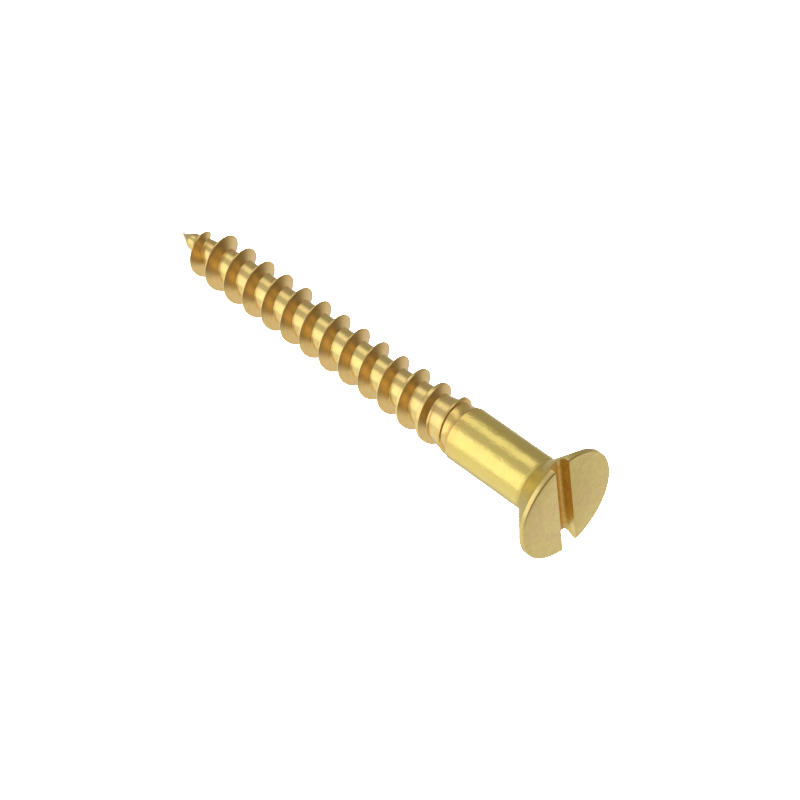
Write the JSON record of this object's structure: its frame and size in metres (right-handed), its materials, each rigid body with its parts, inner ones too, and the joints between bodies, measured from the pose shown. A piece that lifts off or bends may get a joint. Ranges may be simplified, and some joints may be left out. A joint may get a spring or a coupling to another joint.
{
  "type": "wood screw",
  "caption": "Slotted countersunk solid-brass wood screw with a plain shank, a cut single-start right-hand thread and a sharp gimlet point.",
  "frame": {"origin": "centre of the flat top of the head, on the screw's axis, where a countersunk screw's length is measured from", "axes": "+Z along the axis out of the head, with the tip at -Z; the screwdriver slot runs along Y"},
  "size_m": [0.0084, 0.0082, 0.0381],
  "materials": {
    "brass_turned": "turned and sawn, satin, fine tool marks",
    "brass_burnished": "drawn bar, bright, small dents",
    "brass_cut": "cut thread, bright, fine tool marks along the helix"
  },
  "bodies": {
    "root": {"countersunk_head": "brass_turned", "plain_shank": "brass_burnished", "thread_runout": "brass_cut", "thread_body": "brass_cut", "gimlet_point": "brass_cut"}
  },
  "joints": []
}
